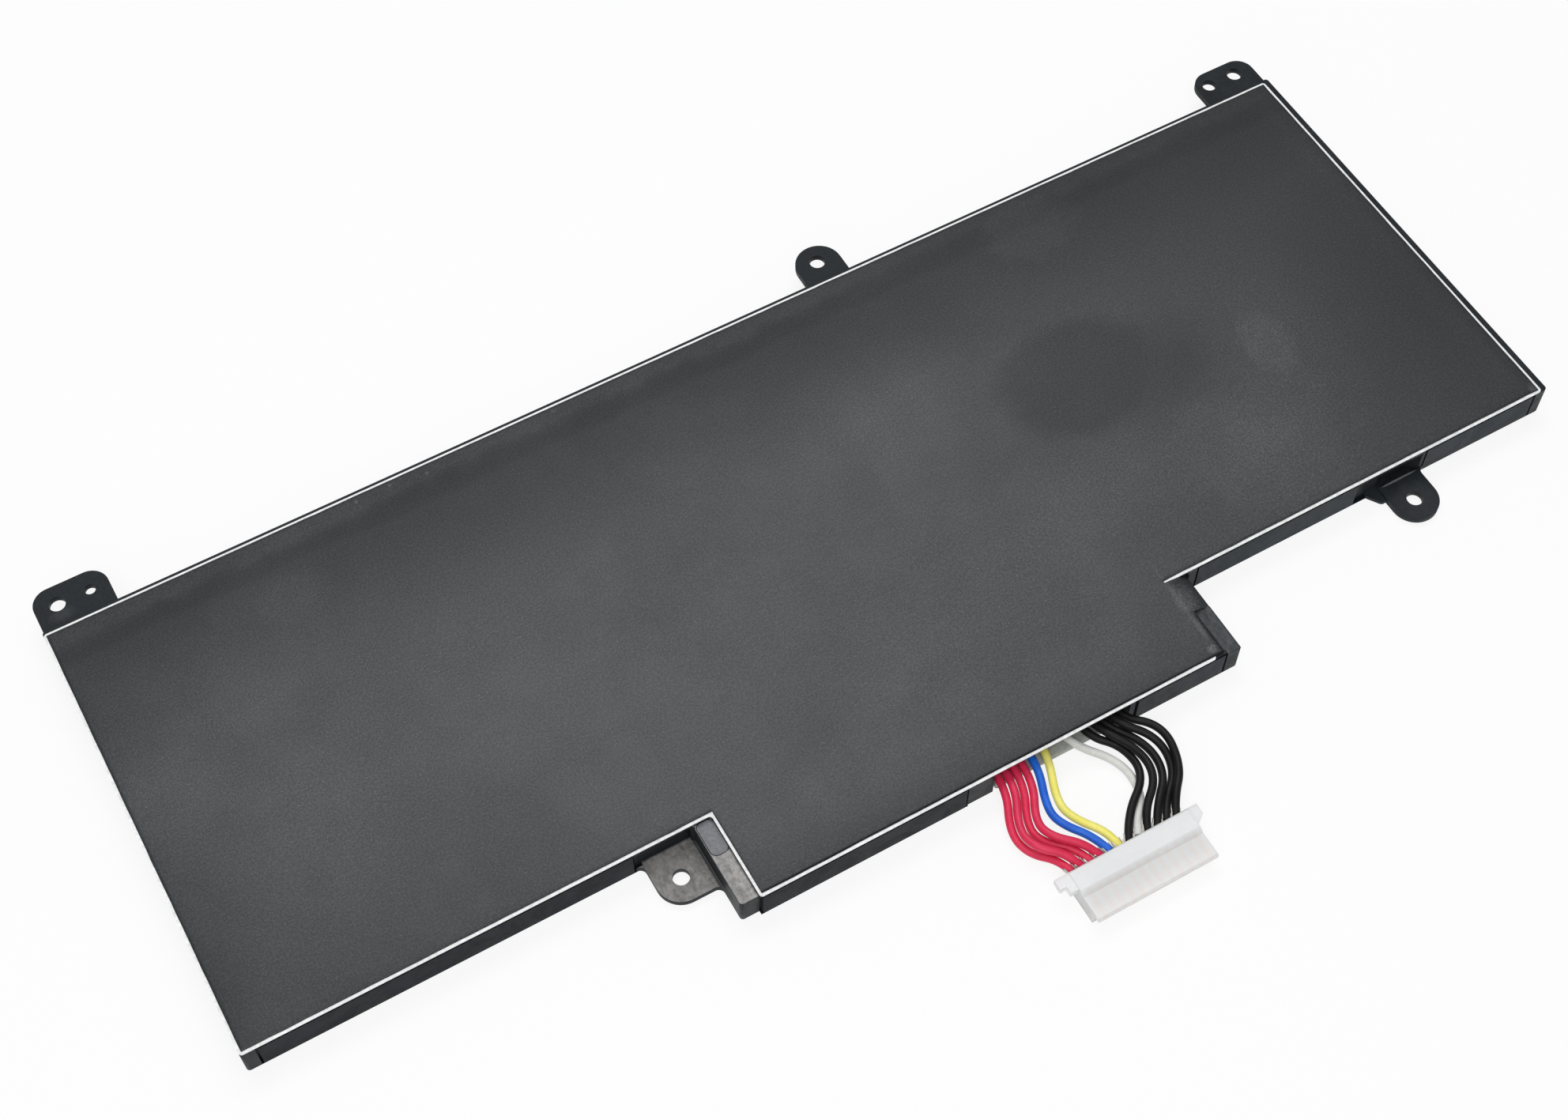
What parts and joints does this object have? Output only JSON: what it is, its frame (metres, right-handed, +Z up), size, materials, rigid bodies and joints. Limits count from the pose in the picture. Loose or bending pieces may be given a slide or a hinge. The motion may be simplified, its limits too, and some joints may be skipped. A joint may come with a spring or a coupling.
{
  "type": "tablet battery",
  "caption": "Flat tablet battery: charcoal film over a slim moulded frame with screw ears and a forward block, from which short coloured leads run to a small milky plug.",
  "frame": {"origin": "on the floor under the middle of the pack's box, measured without the leads and their plug", "axes": "+X along the pack towards the plain end, +Y from the plug towards the back ears, +Z up through the charcoal film"},
  "size_m": [0.1648, 0.0911, 0.0046],
  "materials": {
    "frame_plastic": "black moulded plastic with a fine matt grain",
    "charcoal_film": "matt charcoal polyester film",
    "white_film": "white polyester film",
    "black_film": "near-black polyester film",
    "board_laminate": "pale laminate",
    "solder": "dull tin solder",
    "milky_nylon": "milky natural nylon",
    "tinned_bronze": "tin-plated bronze",
    "pouch_foil": "laminated pouch foil",
    "tab_aluminium": "bare aluminium strip",
    "tab_nickel": "bare nickel strip",
    "chip_epoxy": "moulded black epoxy",
    "fuse_ceramic": "pale ceramic",
    "capacitor_ceramic": "tan ceramic",
    "red_sheath": "crimson lead insulation",
    "blue_sheath": "blue lead insulation",
    "yellow_sheath": "yellow lead insulation",
    "black_sheath": "black lead insulation",
    "white_sheath": "white lead insulation"
  },
  "bodies": {
    "root": {"frame": "frame_plastic", "cover_film": "charcoal_film", "backing_film": "white_film", "base_film": "black_film", "circuit_board": "board_laminate", "solder_joints": "solder", "plug_housing": "milky_nylon", "crimp_contacts": "tinned_bronze", "left_cell": "pouch_foil", "right_cell": "pouch_foil", "left_positive_tab": "tab_aluminium", "left_negative_tab": "tab_nickel", "right_positive_tab": "tab_aluminium", "right_negative_tab": "tab_nickel", "gauge_chip": "chip_epoxy", "protection_chip": "chip_epoxy", "switch_transistors": "chip_epoxy", "board_fuse": "fuse_ceramic", "sense_resistor": "chip_epoxy", "thermistor": "chip_epoxy", "chip_capacitors": "capacitor_ceramic", "chip_resistors": "chip_epoxy", "red_lead_1": "red_sheath", "red_lead_2": "red_sheath", "red_lead_3": "red_sheath", "red_lead_4": "red_sheath", "blue_lead": "blue_sheath", "yellow_lead": "yellow_sheath", "black_lead_1": "black_sheath", "white_lead": "white_sheath", "black_lead_2": "black_sheath", "black_lead_3": "black_sheath", "black_lead_4": "black_sheath", "black_lead_5": "black_sheath"}
  },
  "joints": []
}
